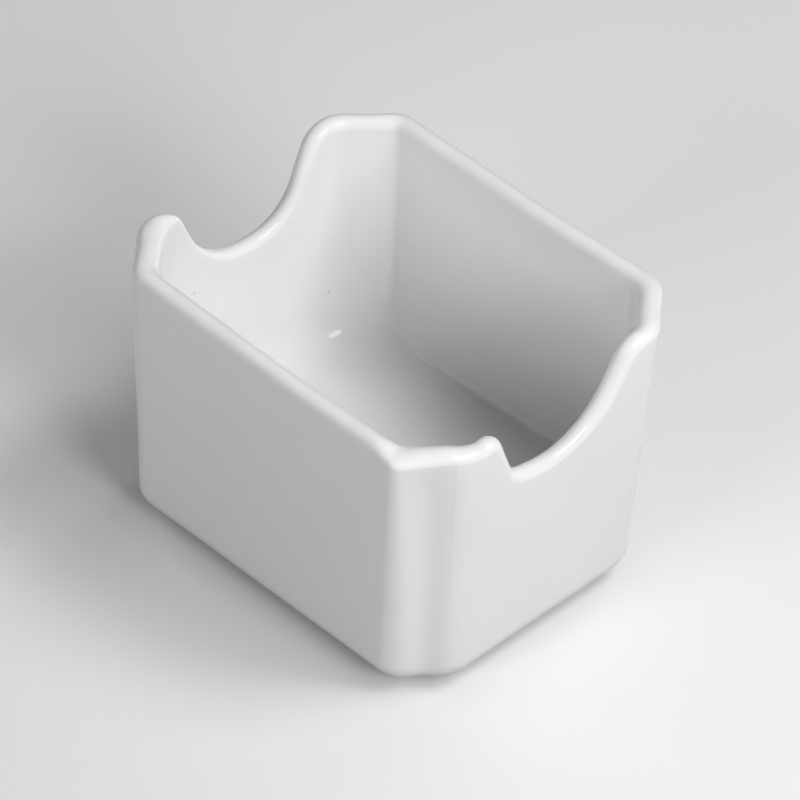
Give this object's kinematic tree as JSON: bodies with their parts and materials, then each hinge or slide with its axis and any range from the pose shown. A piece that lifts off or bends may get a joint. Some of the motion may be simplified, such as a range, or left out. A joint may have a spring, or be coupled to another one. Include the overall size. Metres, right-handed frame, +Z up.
{
  "type": "sugar packet holder",
  "caption": "Open-topped glazed porcelain box with cut corners, a rolled rim and a rounded finger scoop in each end wall, for standing sugar packets on a table.",
  "frame": {"origin": "centre of the footprint, on the ground that the foot ring stands on", "axes": "+X along the length towards one scooped end wall, +Y across towards a side wall, +Z up"},
  "size_m": [0.09, 0.0756, 0.0655],
  "materials": {
    "glaze": "gloss"
  },
  "bodies": {
    "root": {"holder": "glaze"}
  },
  "joints": []
}
